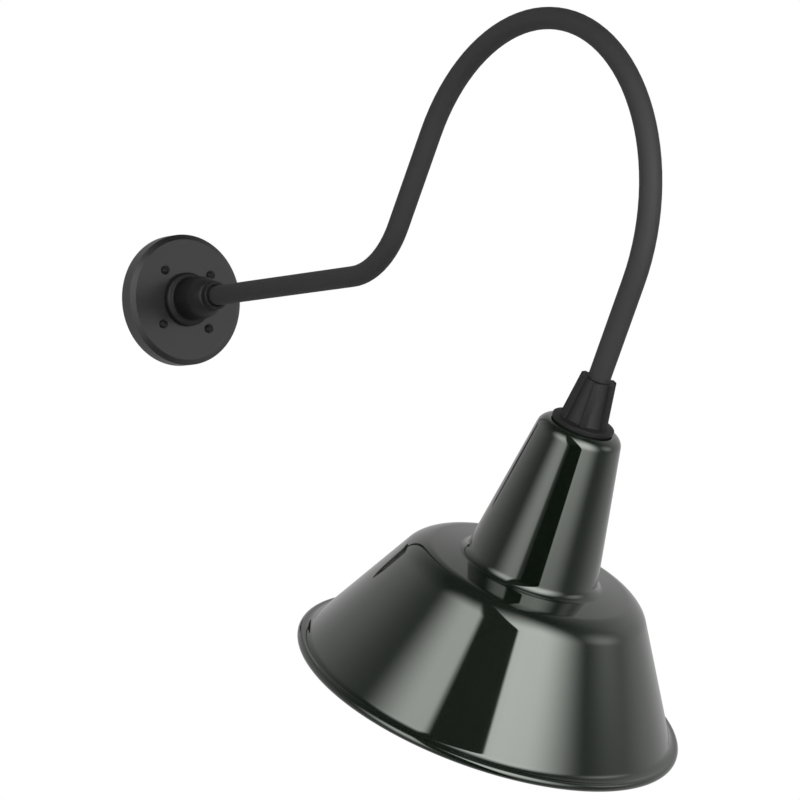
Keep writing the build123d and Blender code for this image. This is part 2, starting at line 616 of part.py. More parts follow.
def lamp_contact():
    crown = (LAMP_CONTACT_RADIUS**2 + LAMP_CONTACT_LENGTH**2) / (2 * LAMP_CONTACT_LENGTH)
    dome = JernArc((0, LAMP_TIP), (1, 0), crown, asin(LAMP_CONTACT_RADIUS / crown) * 180 / pi)
    return turned(dome, Line(dome @ 1, (0, INSULATOR_TOP)))


def write(name, frame, solids):
    """Moves a piece into the object's frame and writes it as one file."""
    group = solids if isinstance(solids, list) else [solids]
    placed = [frame * solid for solid in group]
    shape = placed[0] if len(placed) == 1 else Compound(placed)
    shape.label = name
    export_step(shape, f"parts/{name}.step")


IN_PLACE = Plane.XY

PIECES = {
    "wall_plate": (WALL, wall_plate),
    "wall_gasket": (WALL, wall_gasket),
    "plate_screws": (WALL, plate_screws),
    "arm_hub": (WALL, arm_hub),
    "hub_washer": (WALL, hub_washer),
    "hub_locknut": (WALL, hub_locknut),
    "hub_grub_screw": (WALL, lambda: grub_in_hub(grub_screw(HUB_GRUB_LENGTH))),
    "ground_washer": (WALL, ground_washer),
    "ground_screw": (WALL, ground_screw),
    "inlet_bushing": (WALL, lambda: bush(ARM_START, 1)),
    "arm_tube": (IN_PLACE, arm_tube),
    "outlet_bushing": (HEAD, lambda: bush(COLLAR_SOCKET, -1)),
    "shade_collar": (HEAD, shade_collar),
    "collar_grub_screw": (HEAD, lambda: grub_in_collar(grub_screw(COLLAR_GRUB_LENGTH))),
    "collar_gasket": (HEAD, collar_gasket),
    "shade": (HEAD, shade),
    "socket_nipple": (HEAD, socket_nipple),
    "shade_washer": (HEAD, shade_washer),
    "shade_nut": (HEAD, shade_nut),
    "bracket_nuts": (HEAD, bracket_nuts),
    "lampholder_bracket": (HEAD, lampholder_bracket),
    "bracket_screws": (HEAD, bracket_screws),
    "lampholder_body": (HEAD, lampholder_body),
    "screw_shell": (HEAD, screw_shell),
    "centre_contact": (HEAD, centre_contact),
    "terminal_plates": (HEAD, terminal_plates),
    "terminal_screws": (HEAD, terminal_screws),
    "line_wire": (IN_PLACE, lambda: wire(1)),
    "neutral_wire": (IN_PLACE, lambda: wire(-1)),
    "lamp_bulb": (HEAD, lamp_bulb),
    "lamp_cap": (HEAD, lamp_cap),
    "lamp_insulator": (HEAD, lamp_insulator),
    "lamp_contact": (HEAD, lamp_contact),
}

os.makedirs("parts", exist_ok=True)
for name, (frame, make) in PIECES.items():
    write(name, frame, make())
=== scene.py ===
import json
import math

import bmesh
import bpy
from mathutils import Matrix, Vector


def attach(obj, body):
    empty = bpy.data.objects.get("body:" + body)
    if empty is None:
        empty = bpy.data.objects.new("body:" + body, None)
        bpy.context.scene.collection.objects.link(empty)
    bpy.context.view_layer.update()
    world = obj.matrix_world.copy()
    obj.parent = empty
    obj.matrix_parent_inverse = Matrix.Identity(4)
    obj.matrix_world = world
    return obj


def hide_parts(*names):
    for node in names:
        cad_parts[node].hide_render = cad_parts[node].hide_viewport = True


# Gooseneck wall sconce. Metres; the origin is the centre of the plate's back, +Z is up and +Y goes into
# the wall. The arm leaves the wall along -Y.
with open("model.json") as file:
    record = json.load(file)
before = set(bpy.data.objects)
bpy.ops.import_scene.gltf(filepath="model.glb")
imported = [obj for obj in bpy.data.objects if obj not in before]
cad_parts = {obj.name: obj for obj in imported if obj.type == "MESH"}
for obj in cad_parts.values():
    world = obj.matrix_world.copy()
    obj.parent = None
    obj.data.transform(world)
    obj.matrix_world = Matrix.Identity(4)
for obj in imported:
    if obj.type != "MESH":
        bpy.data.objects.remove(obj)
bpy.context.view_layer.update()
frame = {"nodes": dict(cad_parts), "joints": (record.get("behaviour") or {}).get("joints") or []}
nodes = frame["nodes"]
scene = bpy.context.scene

# ---------------------------------------------------------------------------------------------------
# The camera stands out from the wall, to the object's left and a little below its middle, far away with
# a long lens, and it is rolled slightly.
view_azimuth = math.radians(-36.308)
view_elevation = math.radians(-4.944)
view_roll = math.radians(1.623)
view_distance = 3.24598
view_target = Vector((0.0, -0.38878, -0.12231))
focal_pixels = 3491.65
picture_width = 800

camera_data = bpy.data.cameras.new("camera")
camera_data.sensor_width = 36.0
camera_data.lens = focal_pixels * camera_data.sensor_width / picture_width
camera_data.clip_end = 100
camera = bpy.data.objects.new("camera", camera_data)
scene.collection.objects.link(camera)
back = Vector((math.sin(view_azimuth) * math.cos(view_elevation),
               -math.cos(view_azimuth) * math.cos(view_elevation), math.sin(view_elevation)))
side = (-back).cross(Vector((0, 0, 1))).normalized()
above = side.cross(-back)
right = side * math.cos(view_roll) + above * math.sin(view_roll)
up = above * math.cos(view_roll) - side * math.sin(view_roll)
camera.matrix_world = (Matrix.Translation(view_target + back * view_distance)
                       @ Matrix((right, up, back)).transposed().to_4x4())
scene.camera = camera
scene.view_settings.view_transform = "Standard"

# ---------------------------------------------------------------------------------------------------
# The studio is a white tent round the shade, lit from outside by two tall soft boxes, one each side of the
# camera, and by a small patch for the plate's face. The camera's own gap between the boxes and the tent's
# top stay dark, and both show in the enamel. Directions are in degrees, seen from the tent's centre.
tent_centre = (0.0, -0.85, -0.3)
tent_radius = 1.8
plain_white = (1.0, 1.0, 1.0, 1.0)
right_box = {"inner": (-32.1, -30.1), "outer": (-8.0, 36.0), "low": (-54.0, 14.0), "high": (24.0, 78.0),
             "lean": -0.097, "strength": 3.4}
left_box = {"inner": (-61.0, -67.5), "outer": (-76.0, -112.0), "low": (-48.0, 28.0), "high": (28.0, 75.0),
            "lean": 0.16, "strength": 2.35}
upright_elevation = 20.0        # where a leaning edge has its stated azimuth
wall_patch = {"azimuth": 53.0, "elevation": 16.0, "width": 26.0, "strength": 0.75}
front_azimuth = -32.0           # where the tent's cloth is darkest
cloth_rise = (75.0, 125.0)      # angles from there between which it brightens
tent_front = 0.15
tent_back = 0.42
tent_top = (28.0, 82.0)         # elevations between which the tent darkens
tent_top_share = 0.02           # share of the cloth's light that is left at the top
gap_azimuth = -44.0
gap_side = (17.0, 20.0)         # angles from there between which the cloth begins
gap_rise = (-10.0, 15.0)        # elevations between which the gap gets its own little light
gap_light = 0.05
diffuse_fill = 0.25             # added for matt surfaces alone


class Graph:
    """Adds and joins the nodes of one tree."""

    def __init__(self, tree):
        self.tree = tree
        tree.nodes.clear()

    def node(self, kind, **settings):
        made = self.tree.nodes.new("ShaderNode" + kind)
        for name, value in settings.items():
            setattr(made, name, value)
        return made

    def feed(self, socket, value):
        if isinstance(value, bpy.types.NodeSocket):
            self.tree.links.new(value, socket)
        else:
            socket.default_value = value

    def math(self, operation, *values):
        made = self.node("Math", operation=operation)
        for socket, value in zip(made.inputs, values):
            self.feed(socket, value)
        return made.outputs[0]

    def step(self, value, start, end, low=0.0, high=1.0):
        """Smooth step from low at start to high at end."""
        made = self.node("MapRange", interpolation_type="SMOOTHSTEP")
        for socket, entry in zip(made.inputs, (value, start, end, low, high)):
            self.feed(socket, entry)
        return made.outputs["Result"]


def make_object(name, shape):
    """Writes a bmesh to a new object in the scene and frees it."""
    data = bpy.data.meshes.new(name)
    shape.to_mesh(data)
    shape.free()
    made = bpy.data.objects.new(name, data)
    scene.collection.objects.link(made)
    return made


tent_ball = bmesh.new()
bmesh.ops.create_icosphere(tent_ball, subdivisions=3, radius=tent_radius,
                           matrix=Matrix.Translation(tent_centre))
bmesh.ops.reverse_faces(tent_ball, faces=tent_ball.faces)
tent = make_object("tent", tent_ball)
tent.visible_camera = False
tent.visible_transmission = False
tent_cloth = bpy.data.materials.new("lit_tent_cloth")
tent_cloth.use_nodes = True
tent.data.materials.append(tent_cloth)
studio = Graph(tent_cloth.node_tree)
outward = studio.node("VectorMath", operation="SUBTRACT")
studio.feed(outward.inputs[0], studio.node("TexCoord").outputs["Object"])
studio.feed(outward.inputs[1], tent_centre)
normal = studio.node("VectorMath", operation="NORMALIZE")
studio.feed(normal.inputs[0], outward.outputs[0])
direction = studio.node("SeparateXYZ")
studio.feed(direction.inputs[0], normal.outputs[0])
east, north, height = direction.outputs
azimuth = studio.math("DEGREES", studio.math("ARCTAN2", east, studio.math("MULTIPLY", north, -1.0)))
elevation = studio.math("DEGREES", studio.math("ARCSINE", height))


def soft_box(place):
    """Light of one soft box, brightest at its inner edge, which leans away from the camera's gap."""
    lean = studio.math("MULTIPLY", studio.math("SUBTRACT", upright_elevation, elevation), place["lean"])
    leaning = studio.math("ADD", azimuth, lean)
    across = studio.math("MULTIPLY", studio.step(leaning, *place["inner"]),
                         studio.step(azimuth, *place["outer"], 1.0, 0.0))
    along = studio.math("MULTIPLY", studio.step(elevation, *place["low"]),
                        studio.step(elevation, *place["high"], 1.0, 0.0))
    return studio.math("MULTIPLY", studio.math("MULTIPLY", across, along), place["strength"])


def angle_from(centre):
    """Angle round the tent from a given azimuth, either way."""
    turned = studio.math("WRAP", studio.math("SUBTRACT", azimuth, centre), 180.0, -180.0)
    return studio.math("ABSOLUTE", turned)


cloth = studio.step(angle_from(front_azimuth), *cloth_rise, tent_front, tent_back)
cloth = studio.math("MULTIPLY", cloth, studio.step(elevation, *tent_top, 1.0, tent_top_share))
cloth = studio.math("MULTIPLY", cloth, studio.step(angle_from(gap_azimuth), *gap_side))
cloth = studio.math("MAXIMUM", cloth, studio.step(elevation, *gap_rise, 0.0, gap_light))
aside = studio.math("SUBTRACT", azimuth, wall_patch["azimuth"])
over = studio.math("SUBTRACT", elevation, wall_patch["elevation"])
off_patch = studio.math("SQRT", studio.math("ADD", studio.math("MULTIPLY", aside, aside),
                                            studio.math("MULTIPLY", over, over)))
patch = studio.step(off_patch, 0.0, wall_patch["width"], wall_patch["strength"], 0.0)
boxes = studio.math("ADD", soft_box(right_box), soft_box(left_box))
lights = studio.math("ADD", boxes, studio.math("ADD", cloth, patch))
fill = studio.math("MULTIPLY", studio.node("LightPath").outputs["Is Diffuse Ray"], diffuse_fill)
tent_light = studio.node("Emission")
studio.feed(tent_light.inputs["Color"], plain_white)
studio.feed(tent_light.inputs["Strength"], studio.math("ADD", lights, fill))
studio.feed(studio.node("OutputMaterial").inputs["Surface"], tent_light.outputs[0])

world = bpy.data.worlds.new("white_background")
world.use_nodes = True
scene.world = world
background = Graph(world.node_tree)
white = background.node("Background")
background.feed(white.inputs["Color"], plain_white)
background.feed(white.inputs["Strength"], 1.0)
background.feed(background.node("OutputWorld").inputs["Surface"], white.outputs[0])

# The floor is white paper well below the shade, clear from underneath. It keeps the soft shadow, and away
# from the object it goes over into the white behind it.
floor_centre = (0.0, -0.4, -0.66)
floor_radius = 2.4
paper_color = (0.8, 0.8, 0.8, 1.0)
paper_edge = (0.5, 1.3)         # distances between which the paper goes over into the background
paper_lift = 0.42               # brightens the paper for the camera alone

floor_disc = bmesh.new()
bmesh.ops.create_circle(floor_disc, cap_ends=True, radius=floor_radius, segments=96,
                        matrix=Matrix.Translation(floor_centre))
floor = make_object("floor", floor_disc)
floor.visible_glossy = False
paper_material = bpy.data.materials.new("white_paper")
paper_material.use_nodes = True
paper = Graph(paper_material.node_tree)
centred = paper.node("VectorMath", operation="SUBTRACT")
paper.feed(centred.inputs[0], paper.node("TexCoord").outputs["Object"])
paper.feed(centred.inputs[1], floor_centre)
distance = paper.node("VectorMath", operation="LENGTH")
paper.feed(distance.inputs[0], centred.outputs[0])
seen = paper.node("LightPath").outputs["Is Camera Ray"]
matt = paper.node("BsdfDiffuse")
paper.feed(matt.inputs["Color"], paper_color)
lift = paper.node("Emission")
paper.feed(lift.inputs["Strength"], paper.math("MULTIPLY", seen, paper_lift))
lit = paper.node("AddShader")
paper.feed(lit.inputs[0], matt.outputs[0])
paper.feed(lit.inputs[1], lift.outputs[0])
glow = paper.node("Emission")
for light in (lift, glow):
    paper.feed(light.inputs["Color"], plain_white)
paper.feed(glow.inputs["Strength"], 1.0)
faded = paper.node("MixShader")
far = paper.step(distance.outputs["Value"], *paper_edge)
paper.feed(faded.inputs[0], paper.math("MULTIPLY", seen, far))
paper.feed(faded.inputs[1], lit.outputs[0])
paper.feed(faded.inputs[2], glow.outputs[0])
from_below = paper.node("MixShader")
paper.feed(from_below.inputs[0], paper.node("NewGeometry").outputs["Backfacing"])
paper.feed(from_below.inputs[1], faded.outputs[0])
paper.feed(from_below.inputs[2], paper.node("BsdfTransparent").outputs[0])
paper.feed(paper.node("OutputMaterial").inputs["Surface"], from_below.outputs[0])
floor.data.materials.append(paper_material)

# ---------------------------------------------------------------------------------------------------
# Wall plate: a cast aluminium disc with a turned face, coated in satin black powder paint. The paint has
# a very fine orange-peel, and dust dulls it here and there.


def grain_group():
    """Fine surface grain: an even roughness with soft clouds, and a height for bump."""
    tree = bpy.data.node_groups.new("surface_grain", "ShaderNodeTree")
    for name, default in (("Grain", 1500.0), ("Clouds", 25.0), ("Roughness", 0.4), ("Variation", 0.05)):
        socket = tree.interface.new_socket(name, in_out="INPUT", socket_type="NodeSocketFloat")
        socket.default_value = default
    for name in ("Roughness", "Height", "Mask"):
        tree.interface.new_socket(name, in_out="OUTPUT", socket_type="NodeSocketFloat")
    graph = Graph(tree)
    entry = graph.node("TexCoord").outputs["Object"]
    given = tree.nodes.new("NodeGroupInput")
    result = tree.nodes.new("NodeGroupOutput")
    fine = graph.node("TexNoise")
    clouds = graph.node("TexNoise")
    for made, scale, detail in ((fine, given.outputs["Grain"], 2.0),
                                (clouds, given.outputs["Clouds"], 3.0)):
        graph.feed(made.inputs["Vector"], entry)
        graph.feed(made.inputs["Scale"], scale)
        graph.feed(made.inputs["Detail"], detail)
    centred_clouds = graph.math("SUBTRACT", clouds.outputs["Fac"], 0.5)
    swing = graph.math("MULTIPLY", graph.math("MULTIPLY", centred_clouds, given.outputs["Variation"]), 2.0)
    graph.feed(result.inputs["Roughness"], graph.math("ADD", given.outputs["Roughness"], swing))
    graph.feed(result.inputs["Height"], fine.outputs["Fac"])
    graph.feed(result.inputs["Mask"], clouds.outputs["Fac"])
    return tree


surface_grain = grain_group()
second_tone = 1.25              # how much lighter the second colour is where none is given


def finish(name, color, second=None, roughness=0.4, variation=0.05, grain=1500.0, clouds=25.0, bump=0.0,
           depth=0.00003, **sockets):
    """Procedural finish: two close colours in soft clouds, uneven roughness and a fine bump. The sockets
    are the shader's own, with _ for a space."""
    material = bpy.data.materials.new(name)
    material.use_nodes = True
    graph = Graph(material.node_tree)
    group = graph.node("Group")
    group.node_tree = surface_grain
    for socket, value in (("Grain", grain), ("Clouds", clouds), ("Roughness", roughness),
                          ("Variation", variation)):
        graph.feed(group.inputs[socket], value)
    shader = graph.node("BsdfPrincipled")
    tint = graph.node("Mix", data_type="RGBA")
    graph.feed(tint.inputs["Factor"], group.outputs["Mask"])
    graph.feed(tint.inputs["A"], (*color, 1.0))
    graph.feed(tint.inputs["B"], (*(second or [part * second_tone for part in color]), 1.0))
    graph.feed(shader.inputs["Base Color"], tint.outputs["Result"])
    graph.feed(shader.inputs["Roughness"], group.outputs["Roughness"])
    if bump:
        relief = graph.node("Bump")
        graph.feed(relief.inputs["Strength"], bump)
        graph.feed(relief.inputs["Distance"], depth)
        graph.feed(relief.inputs["Height"], group.outputs["Height"])
        graph.feed(shader.inputs["Normal"], relief.outputs["Normal"])
    for socket, value in sockets.items():
        graph.feed(shader.inputs[socket.replace("_", " ")], value)
    graph.feed(graph.node("OutputMaterial").inputs["Surface"], shader.outputs[0])
    return material


def dress(material, *names):
    """Gives CAD nodes their finish."""
    for name in names:
        nodes[name].data.materials.clear()
        nodes[name].data.materials.append(material)


powder_black = finish("satin_black_powder_coat", (0.0035, 0.0035, 0.0036), roughness=0.36, variation=0.04,
                      grain=1900.0, bump=0.35, IOR=1.9)
dress(powder_black, "wall_plate")

# Foam gasket, let into the plate's back: closed-cell black rubber foam, die cut and a little compressed.
foam = finish("black_cell_foam", (0.012, 0.012, 0.012), (0.03, 0.03, 0.03), roughness=0.9, grain=2600.0,
              clouds=400.0, bump=0.8, depth=0.0002)
dress(foam, "wall_gasket")


# ---------------------------------------------------------------------------------------------------
# Plate screws: four slotted round-head machine screws, black oxide over steel. The thread is rolled over
# the whole tail that goes into the wall box.
screw_spacing = 0.05485
thread_radius = 0.0024          # of the ridge's root
thread_pitch = 0.0008
thread_depth = 0.00032
thread_half_width = 0.42 * thread_pitch
thread_sink = 0.02 * thread_pitch
thread_start = 0.0004           # distances from the wall's face
thread_end = 0.0212
thread_steps = 20               # in one turn


def add_piece(name, shape, *materials, body="sconce", smooth=True, sharp=None):
    """Writes a bmesh as a piece that rides on a body. Edges over the sharp angle stay crisp."""
    piece = make_object(name, shape)
    for material in materials:
        piece.data.materials.append(material)
    if smooth:
        piece.data.shade_smooth()
    if sharp:
        piece.data.set_sharp_from_angle(angle=sharp)
    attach(piece, body)
    return piece


def join_ring(target, verts):
    """Joins vertices with edges, the last one to the first."""
    return [target.edges.new(pair) for pair in zip(verts, verts[1:] + verts[:1])]


def wind_thread(target, place):
    """Winds one screw's V ridge round local Z and adds it to the target bmesh."""
    ridge = bmesh.new()
    root = thread_radius - thread_sink
    verts = [ridge.verts.new((radius, 0, station)) for radius, station in (
        (root, thread_start - thread_half_width), (thread_radius + thread_depth, thread_start),
        (root, thread_start + thread_half_width))]
    edges = join_ring(ridge, verts)
    length = thread_end - thread_start
    turns = length / thread_pitch
    steps = round(turns * thread_steps)
    swept = bmesh.ops.spin(ridge, geom=verts + edges, cent=(0, 0, 0), axis=(0, 0, 1),
                           dvec=(0, 0, length / steps), angle=turns * 2 * math.pi, steps=steps)
    last = [item for item in swept["geom_last"] if isinstance(item, bmesh.types.BMVert)]
    ridge.faces.new(verts)
    ridge.faces.new(last)
    bmesh.ops.recalc_face_normals(ridge, faces=ridge.faces)
    bmesh.ops.transform(ridge, matrix=place, verts=ridge.verts)
    data = bpy.data.meshes.new("thread")
    ridge.to_mesh(data)
    ridge.free()
    target.from_mesh(data)
    bpy.data.meshes.remove(data)


black_oxide = finish("black_oxide_steel", (0.02, 0.02, 0.021), roughness=0.33, variation=0.08, grain=900.0,
                     clouds=300.0, bump=0.2, Metallic=0.5)
dress(black_oxide, "plate_screws", "hub_grub_screw", "collar_grub_screw")
into_wall = Matrix(((1, 0, 0, 0), (0, 0, 1, 0), (0, -1, 0, 0), (0, 0, 0, 1)))
threads = bmesh.new()
for x in (-screw_spacing / 2, screw_spacing / 2):
    for z in (-screw_spacing / 2, screw_spacing / 2):
        wind_thread(threads, Matrix.Translation((x, 0, z)) @ into_wall)
add_piece("plate_screw_threads", threads, black_oxide)

# ---------------------------------------------------------------------------------------------------
# Hub: a turned aluminium boss with a bead at its foot and a ring at its mouth. Its satin black is duller
# than the plate's.
hub_black = finish("satin_black_hub_coat", (0.0055, 0.0055, 0.0055), roughness=0.5, variation=0.04,
                   grain=1900.0, bump=0.35, IOR=1.5)
dress(hub_black, "arm_hub")

# Lock washer, locknut and the other nuts, washers and the nipple are zinc-plated steel with a dull blue
# cast; the strap is the same sheet steel.
zinc = finish("zinc_plated_steel", (0.52, 0.53, 0.53), (0.66, 0.66, 0.62), roughness=0.34, variation=0.12,
              grain=700.0, clouds=120.0, bump=0.15, Metallic=1.0)
dress(zinc, "hub_washer", "hub_locknut", "shade_washer", "shade_nut", "bracket_nuts", "socket_nipple",
      "lampholder_bracket", "bracket_screws")

# Earth screw and its cup washer inside the plate: green paint over steel, on a brass washer.
earth_green = finish("green_screw_paint", (0.015, 0.16, 0.045), roughness=0.35, variation=0.1, clouds=500.0)
brass = finish("plain_brass", (0.62, 0.42, 0.16), (0.72, 0.53, 0.24), roughness=0.28, variation=0.1,
               grain=900.0, clouds=180.0, bump=0.1, Metallic=1.0)
dress(earth_green, "ground_screw")
dress(brass, "ground_washer")

# ---------------------------------------------------------------------------------------------------
# Arm: one length of steel tube, bent cold round two formers and coated in the same satin black powder,
# a little rougher than the castings.
tube_black = finish("satin_black_tube_coat", (0.0150, 0.0150, 0.0152), roughness=0.72, variation=0.05,
                    grain=1500.0, bump=0.4, IOR=1.7)
dress(tube_black, "arm_tube")

# Bushes: black nylon, moulded, one in each end of the tube.
nylon = finish("black_nylon", (0.014, 0.014, 0.014), roughness=0.55, clouds=90.0)
dress(nylon, "inlet_bushing", "outlet_bushing")

# Wires: stranded copper in smooth thermoplastic, black for line and white for neutral.
dress(finish("black_wire_jacket", (0.012, 0.012, 0.012), roughness=0.3, clouds=200.0), "line_wire")
dress(finish("white_wire_jacket", (0.78, 0.77, 0.72), roughness=0.32, clouds=200.0), "neutral_wire")

# ---------------------------------------------------------------------------------------------------
# Collar: a cast aluminium reducer, a tapered core with six crisp ribs and a flange with a turned edge,
# painted satin black over a sand-cast skin. A grub screw holds it on the end of the arm.
shade_axis = Vector(frame["joints"][0]["axis"]).normalized()
collar_top = Vector((0.0, -0.679014, -0.116765))
head = Matrix.Translation(collar_top) @ Matrix((
    (1, 0, 0), shade_axis.cross(Vector((1, 0, 0))), shade_axis)).transposed().to_4x4()

socket_radius = 0.01015
socket_end = 0.0315
nipple_hole = 0.00685
core_top = (0.0141, 0.0028)     # radius, and distance along the axis
core_foot = (0.0200, 0.0418)
core_foot_round = 0.0008
flange_top = (0.0276, 0.0432)
flange_bevel = 0.0004
flange_radius = 0.0280
collar_end = 0.0463
collar_steps = 120
rib_count = 6
first_rib = math.radians(9.4)
rib_width = 0.0057
rib_top_radius = 0.0168
rib_foot_radius = 0.0231
rib_foot = flange_top[1] + 0.0001       # a little inside the flange
rib_back_radius = socket_radius + 0.001
rib_edge = 0.0003


def round_points(target, verts, offset, segments):
    """Rounds vertices of a half section."""
    bmesh.ops.bevel(target, geom=verts, offset=offset, offset_type="OFFSET", affect="VERTICES",
                    segments=segments, profile=0.5, material=-1)


def full_turn(target, steps):
    """Turns a half section once round the axis and closes its seam."""
    bmesh.ops.spin(target, geom=target.verts[:] + target.edges[:], cent=(0, 0, 0), axis=(0, 0, 1),
                   dvec=(0, 0, 0), angle=2 * math.pi, steps=steps, use_merge=True)
    bmesh.ops.remove_doubles(target, verts=target.verts, dist=0.000005)
    bmesh.ops.recalc_face_normals(target, faces=target.faces)


collar = bmesh.new()
section = [collar.verts.new((radius, 0, station)) for radius, station in (
    (socket_radius, core_top[1]), core_top, core_foot, flange_top,
    (flange_radius, flange_top[1] + flange_bevel), (flange_radius, collar_end),
    (nipple_hole, collar_end), (nipple_hole, socket_end), (socket_radius, socket_end))]
join_ring(collar, section)
round_points(collar, [section[2]], core_foot_round, segments=4)
full_turn(collar, collar_steps)
for turn in range(rib_count):
    block = bmesh.ops.create_cube(collar, size=1.0)["verts"]
    for corner in block:
        at_top = corner.co.z < 0
        face_radius = rib_top_radius if at_top else rib_foot_radius
        corner.co = (face_radius if corner.co.x > 0 else rib_back_radius, corner.co.y * rib_width,
                     core_top[1] if at_top else rib_foot)
    long_edges = {edge for corner in block for edge in corner.link_edges
                  if all(vert.co.x > rib_top_radius - rib_edge for vert in edge.verts)}
    rounded = bmesh.ops.bevel(collar, geom=list(long_edges), offset=rib_edge, offset_type="OFFSET",
                              affect="EDGES", segments=3, profile=0.5, material=-1)
    rib = {vert for face in rounded["faces"] for vert in face.verts}
    rib |= {vert for vert in block if vert.is_valid}
    bmesh.ops.rotate(collar, cent=(0, 0, 0), verts=list(rib),
                     matrix=Matrix.Rotation(first_rib + turn * 2 * math.pi / rib_count, 3, "Z"))
bmesh.ops.transform(collar, matrix=head, verts=collar.verts)
cast_black = finish("satin_black_casting", (0.0052, 0.0052, 0.0051), roughness=0.56, variation=0.08,
                    grain=1100.0, clouds=160.0, bump=0.55, depth=0.00005, IOR=1.55)
cast_collar = add_piece("ribbed_collar", collar, cast_black, sharp=math.radians(30))
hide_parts("shade_collar")

# The black rubber gasket keeps rain out between the collar's flange and the shade's crown.
gasket_radius = 0.0268
gasket_round = 0.0004
crown = 0.0477                  # distance of the shade's crown along the axis

ring = bmesh.new()
section = [ring.verts.new((radius, 0, station)) for radius, station in (
    (nipple_hole, collar_end), (gasket_radius, collar_end), (gasket_radius, crown), (nipple_hole, crown))]
join_ring(ring, section)
round_points(ring, section[1:3], gasket_round, segments=3)
full_turn(ring, collar_steps)
bmesh.ops.transform(ring, matrix=head, verts=ring.verts)
rubber = finish("black_rubber", (0.01, 0.01, 0.01), roughness=0.6, clouds=90.0)
gasket = add_piece("crown_gasket", ring, rubber, smooth=False)
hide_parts("collar_gasket")

# ---------------------------------------------------------------------------------------------------
# Shade: one disc of sheet metal, spun over a former into crown, neck, shoulder and skirt, its edge rolled
# out to a narrow brim and round under it, then fired with glass enamel: black-green outside and round the
# rim, and white inside.
sheet_thickness = 0.0012
crown_hole = 0.0072
crown_round = 0.010
neck_top = 0.0369
neck_foot = 0.0605
neck_length = 0.1383
neck_fillet = 0.008
top_slope = math.radians(5.7)
shoulder_round = 0.029
skirt_angle = math.radians(29.6)
rim_station = crown + 0.2595
rim_radius = 0.0037
shade_radius = 0.1778
rim_curl = math.radians(285)
brim_round = 0.0075
shade_steps = 192
rim_steps = 36
corner_segments = (14, 14, 28, 12)      # in the crown's edge, the neck's foot, the shoulder and the brim
rim_reach = 1.05                # faces this near to the roll's middle, in its radii, are the roll's

# The half section follows the middle of the sheet. The neck is r = neck_start + neck_slope * z, the top is
# z = top_start + tan(top_slope) * r, and the skirt's line, drawn on past the brim, would touch the roll.
half_sheet = sheet_thickness / 2
neck_slope = (neck_foot - neck_top) / neck_length
neck_start = neck_top - half_sheet * math.hypot(1, neck_slope) - neck_slope * crown
top_start = crown + neck_length - math.tan(top_slope) * neck_foot + half_sheet / math.cos(top_slope)
foot_radius = (neck_start + neck_slope * top_start) / (1 - neck_slope * math.tan(top_slope))
curl_radius = rim_radius - half_sheet
rim_centre = (shade_radius - rim_radius, rim_station)
skirt_touch = (rim_centre[0] - curl_radius * math.cos(skirt_angle),
               rim_centre[1] + curl_radius * math.sin(skirt_angle))
skirt_start = skirt_touch[0] - math.tan(skirt_angle) * skirt_touch[1]
shoulder_radius = ((skirt_start + math.tan(skirt_angle) * top_start)
                   / (1 - math.tan(skirt_angle) * math.tan(top_slope)))
crown_edge = neck_start + neck_slope * (crown + half_sheet)
rim_top = (rim_centre[0], rim_station - curl_radius)
brim_start = (skirt_start + math.tan(skirt_angle) * rim_top[1], rim_top[1])


def round_corner(target, corner, radius, segments):
    """Rounds one vertex of a half section with an arc of a given radius."""
    first, second = [edge.other_vert(corner).co - corner.co for edge in corner.link_edges]
    round_points(target, [corner], radius / math.tan(first.angle(second) / 2), segments)


def support(target, near=0.0012):
    """Adds a vertex close to each end of every long edge, so that flat stretches shade flat."""
    for edge in [edge for edge in target.edges if edge.calc_length() > 8 * near]:
        added, vert = bmesh.utils.edge_split(edge, edge.verts[0], near / edge.calc_length())
        longer = added if added.calc_length() > edge.calc_length() else edge
        bmesh.utils.edge_split(longer, longer.other_vert(vert), near / longer.calc_length())


outline = bmesh.new()
corners = [outline.verts.new((x, 0, z)) for x, z in (
    (crown_hole, crown + half_sheet), (crown_edge, crown + half_sheet),
    (foot_radius, top_start + math.tan(top_slope) * foot_radius),
    (shoulder_radius, top_start + math.tan(top_slope) * shoulder_radius), brim_start, rim_top)]
for first, second in zip(corners, corners[1:]):
    outline.edges.new((first, second))
bmesh.ops.spin(outline, geom=[corners[-1]], cent=(rim_centre[0], 0, rim_centre[1]), axis=(0, 1, 0),
               dvec=(0, 0, 0), angle=-rim_curl, steps=rim_steps)
corner_radii = (crown_round - half_sheet, neck_fillet + half_sheet, shoulder_round - half_sheet,
                brim_round + half_sheet)
for corner, radius, segments in zip(corners[1:5], corner_radii, corner_segments):
    round_corner(outline, corner, radius, segments)
support(outline)
full_turn(outline, shade_steps)
for face in outline.faces:
    middle = face.calc_center_median()
    from_roll = math.hypot(middle.xy.length - rim_centre[0], middle.z - rim_centre[1])
    if from_roll < rim_reach * curl_radius:
        face.material_index = 2
bmesh.ops.transform(outline, matrix=head, verts=outline.verts)

green_enamel = finish("black_green_enamel", (0.0045, 0.0078, 0.0045), roughness=0.06, variation=0.015,
                      clouds=14.0, grain=60.0, IOR=1.8, Coat_Weight=1.0, Coat_Roughness=0.02, Coat_IOR=1.5,
                      Specular_Tint=(0.92, 1.0, 0.9, 1.0))
white_enamel = finish("white_enamel", (0.72, 0.72, 0.69), (0.78, 0.78, 0.76), roughness=0.12,
                      variation=0.02, clouds=18.0, Coat_Weight=0.5, Coat_Roughness=0.05)
shade = add_piece("spun_shade", outline, green_enamel, white_enamel, green_enamel, green_enamel)
wall = shade.modifiers.new("sheet", "SOLIDIFY")
wall.thickness = sheet_thickness
wall.offset = 0
wall.use_even_offset = True
wall.material_offset = 1
wall.use_quality_normals = True
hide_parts("shade")

